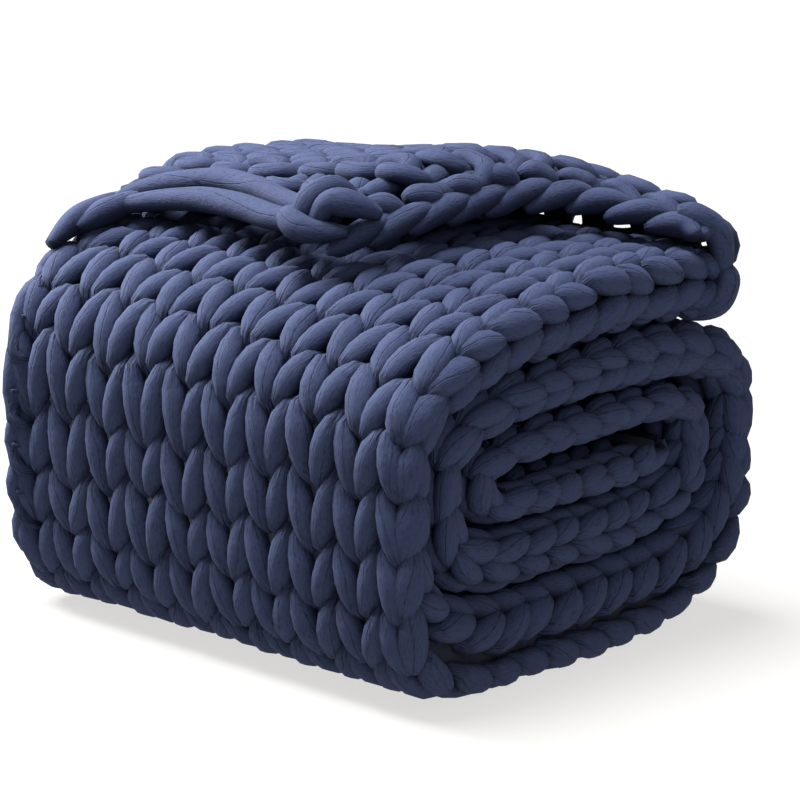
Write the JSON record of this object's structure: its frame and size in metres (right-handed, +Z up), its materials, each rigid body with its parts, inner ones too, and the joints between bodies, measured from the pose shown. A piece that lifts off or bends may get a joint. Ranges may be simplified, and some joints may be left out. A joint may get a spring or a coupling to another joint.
{
  "type": "rolled weighted blanket",
  "caption": "Chunky hand-knit weighted blanket, folded across its width and rolled up, lying on its side with its loose end flopped over the top.",
  "frame": {"origin": "under the middle of the whole piece, on the surface that the roll lies on", "axes": "+Z up, +X along the roll's axis towards the folded end, -Y to the roll's front"},
  "size_m": [0.5588, 0.5256, 0.4704],
  "materials": {
    "navy_jersey_yarn": "matte filled jersey tube",
    "navy_jersey_edge": "matte filled jersey tube"
  },
  "bodies": {
    "root": {"wound_roll": "navy_jersey_yarn", "loose_end": "navy_jersey_edge"}
  },
  "joints": []
}
